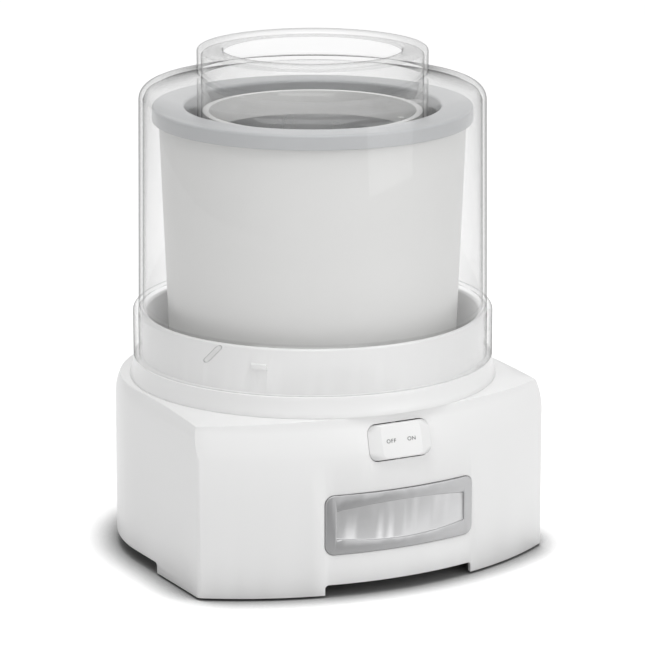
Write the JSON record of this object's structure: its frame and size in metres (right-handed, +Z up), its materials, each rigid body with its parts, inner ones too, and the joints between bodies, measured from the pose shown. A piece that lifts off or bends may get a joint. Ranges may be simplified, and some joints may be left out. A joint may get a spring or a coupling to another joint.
{
  "type": "ice cream maker",
  "caption": "Frozen dessert maker: a geared base turns a double-walled freezer bowl under a clear lid with an open spout, around a paddle that stands still.",
  "frame": {"origin": "on the bowl's vertical axis, at the surface that the feet stand on", "axes": "+Z up along the bowl's axis, -Y towards the bowed front with the switch, +X to the viewer's right"},
  "size_m": [0.2184, 0.2199, 0.286],
  "materials": {
    "white_gloss": "glossy white moulding",
    "white_satin": "satin white moulding",
    "clear_plastic": "clear polished plastic",
    "silver_band": "silver-grey painted plastic",
    "badge_metal": "satin cast metal",
    "aluminium": "drawn and polished",
    "rubber": "dark matt rubber",
    "steel": "zinc plated steel",
    "lamination": "varnished laminations",
    "copper": "enamelled winding wire",
    "bronze": "sintered bronze",
    "gear_plastic": "natural acetal",
    "black_plastic": "black moulding",
    "gel": "freezing gel"
  },
  "bodies": {
    "base": {"base_housing": "white_gloss", "bowl_well": "white_gloss", "base_plate": "white_satin", "rubber_feet": "rubber", "case_screws": "steel", "badge_plate": "badge_metal", "switch_body": "black_plastic", "switch_terminals": "bronze", "cord_gland": "white_satin", "internal_wires": "black_plastic", "gearbox_housing": "gear_plastic", "gearbox_cover": "gear_plastic", "gearbox_screws": "steel", "gear_axles": "steel", "lower_bush": "bronze", "hub_bush": "bronze", "motor_stator": "lamination", "motor_coils": "copper", "upper_motor_bracket": "steel", "lower_motor_bracket": "steel", "motor_bearings": "bronze", "motor_screws": "steel"},
    "drive": {"drive_gear": "gear_plastic", "drive_hub": "white_satin", "hub_screw": "steel"},
    "second_gear": {"second_gear": "gear_plastic"},
    "first_gear": {"first_gear": "gear_plastic"},
    "rotor": {"motor_rotor": "lamination", "motor_shaft": "steel", "motor_pinion": "gear_plastic", "cooling_fan": "black_plastic"},
    "bowl": {"bowl_shell": "white_satin", "bowl_liner": "aluminium", "bowl_rim": "silver_band", "bowl_base": "white_satin", "freezing_gel": "gel", "bowl_seal": "rubber"},
    "paddle": {"mixing_paddle": "white_satin"},
    "lid": {"lid": "clear_plastic"},
    "rocker": {"switch_rocker": "white_gloss"}
  },
  "joints": [
    {"name": "drive_spin", "type": "hinge", "parent": "base", "child": "drive", "pos_m": [0, 0, 0.07], "axis": [0, 0, 1], "continuous": true},
    {"name": "second_gear_spin", "type": "hinge", "parent": "base", "child": "second_gear", "pos_m": [-0.03789, 0.02187, 0.07], "axis": [0, 0, 1], "continuous": true},
    {"name": "first_gear_spin", "type": "hinge", "parent": "base", "child": "first_gear", "pos_m": [-0.02289, 0.04786, 0.06], "axis": [0, 0, 1], "continuous": true},
    {"name": "rotor_spin", "type": "hinge", "parent": "base", "child": "rotor", "pos_m": [0.00711, 0.04786, 0.04], "axis": [0, 0, 1], "continuous": true},
    {"name": "bowl_lift", "type": "slide", "parent": "drive", "child": "bowl", "axis": [0, 0, 1], "range_m": [0, 0.05]},
    {"name": "paddle_lift", "type": "slide", "parent": "base", "child": "paddle", "axis": [0, 0, 1], "range_m": [0, 0.2]},
    {"name": "lid_lift", "type": "slide", "parent": "base", "child": "lid", "axis": [0, 0, 1], "range_m": [0, 0.24]},
    {"name": "switch_rock", "type": "hinge", "parent": "base", "child": "rocker", "pos_m": [-0.002, -0.1002, 0.08396], "axis": [0, 0.2747, 0.9615], "range_deg": [0, 8]}
  ],
  "couplings": [
    {"joint": "second_gear_spin", "follows": "drive_spin", "ratio": -4},
    {"joint": "first_gear_spin", "follows": "drive_spin", "ratio": 16},
    {"joint": "rotor_spin", "follows": "drive_spin", "ratio": -64},
    {"joint": "paddle_lift", "follows": "bowl_lift", "ratio": 4},
    {"joint": "lid_lift", "follows": "bowl_lift", "ratio": 4.8}
  ]
}
